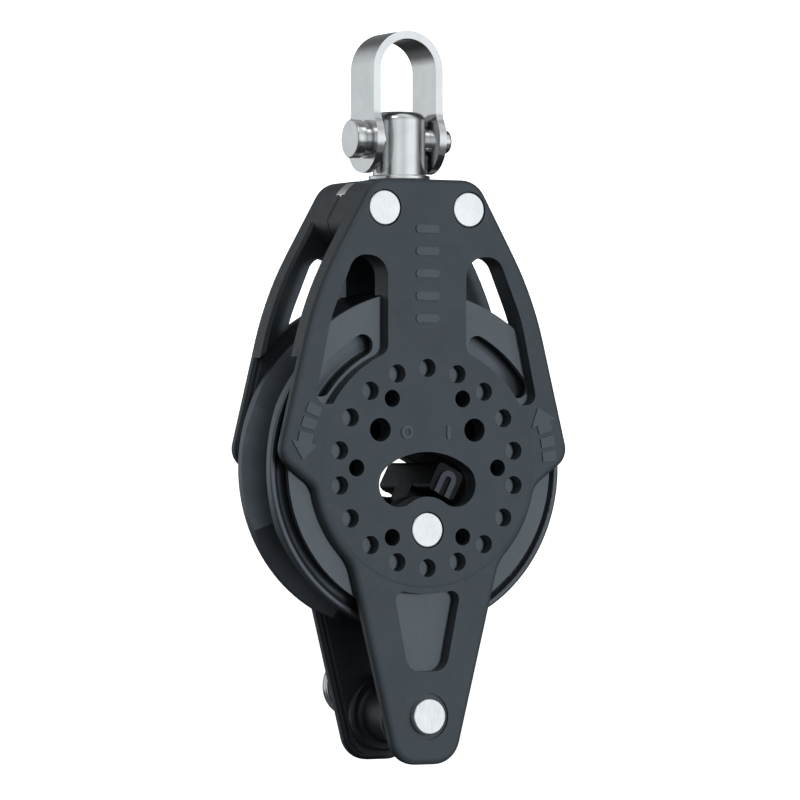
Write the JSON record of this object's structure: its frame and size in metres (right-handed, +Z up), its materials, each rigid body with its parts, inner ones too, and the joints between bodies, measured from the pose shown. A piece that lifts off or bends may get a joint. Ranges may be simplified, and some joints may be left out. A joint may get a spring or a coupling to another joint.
{
  "type": "single sheave block",
  "caption": "Swivel shackle block with a ratchet sheave between two cheeks, a kidney-slot switch and a becket spool below.",
  "frame": {"origin": "on the sheave's axis, halfway between the cheeks", "axes": "+X right seen from the front, +Y along the sheave's axis to the back cheek, +Z up to the shackle"},
  "size_m": [0.057, 0.0276, 0.1282],
  "materials": {
    "cheek": "glass-filled nylon, fine satin",
    "liner": "lighter grey satin",
    "core": "black satin",
    "switch": "dark satin",
    "spool": "dark satin",
    "sheave": "dark anodised, turned",
    "inner_steel": "plain ground",
    "balls": "smooth",
    "cage": "natural",
    "rivet": "bright satin",
    "bright_steel": "polished stainless"
  },
  "bodies": {
    "shackle": {"shackle_bow": "bright_steel", "shackle_pin": "bright_steel", "shackle_pin_nut": "bright_steel"},
    "swivel": {"swivel_post": "bright_steel", "swivel_collar": "bright_steel", "thrust_washer": "cage"},
    "block": {"front_cheek": "cheek", "back_cheek": "cheek", "front_liner": "liner", "back_liner": "liner", "front_core": "core", "back_core": "core", "swivel_carrier": "rivet", "head_rivets": "rivet", "hub_rivet": "rivet", "pawl_pins": "inner_steel", "pawl_springs": "inner_steel", "becket_pin": "rivet", "becket_split_ring": "bright_steel"},
    "sheave": {"sheave": "sheave", "ratchet_ring": "inner_steel"},
    "ball_rows": {"front_balls": "balls", "back_balls": "balls", "front_cage": "cage", "back_cage": "cage"},
    "switch": {"switch_lever": "switch"},
    "upper_pawl": {"upper_pawl": "inner_steel"},
    "lower_pawl": {"lower_pawl": "inner_steel"},
    "becket_spool": {"becket_spool": "spool"}
  },
  "joints": [
    {"name": "shackle_pivot", "type": "hinge", "parent": "shackle", "child": "swivel", "pos_m": [0, 0, 0.0576], "axis": [1, 0, 0], "range_deg": [-95, 95]},
    {"name": "swivel_spin", "type": "hinge", "parent": "swivel", "child": "block", "pos_m": [0, 0, 0.045], "axis": [0, 0, 1], "continuous": true},
    {"name": "sheave_spin", "type": "hinge", "parent": "block", "child": "sheave", "pos_m": [0, 0, 0], "axis": [0, 1, 0], "continuous": true},
    {"name": "ball_rows_roll", "type": "hinge", "parent": "block", "child": "ball_rows", "pos_m": [0, 0, 0], "axis": [0, 1, 0], "continuous": true},
    {"name": "switch_swing", "type": "hinge", "parent": "block", "child": "switch", "pos_m": [0, 0, -0.0108], "axis": [0, 1, 0], "range_deg": [-54, 0]},
    {"name": "upper_pawl_lift", "type": "hinge", "parent": "block", "child": "upper_pawl", "pos_m": [-0.00342, 0, 0.01275], "axis": [0, -1, 0], "range_deg": [0, 6]},
    {"name": "lower_pawl_lift", "type": "hinge", "parent": "block", "child": "lower_pawl", "pos_m": [0.01275, 0, 0.00342], "axis": [0, -1, 0], "range_deg": [0, 6]},
    {"name": "becket_spool_turn", "type": "hinge", "parent": "block", "child": "becket_spool", "pos_m": [0, 0, -0.0432], "axis": [0, 1, 0], "continuous": true}
  ],
  "couplings": [
    {"joint": "ball_rows_roll", "follows": "sheave_spin", "ratio": 0.53678},
    {"joint": "upper_pawl_lift", "follows": "switch_swing", "ratio": -0.11},
    {"joint": "lower_pawl_lift", "follows": "switch_swing", "ratio": -0.11}
  ]
}
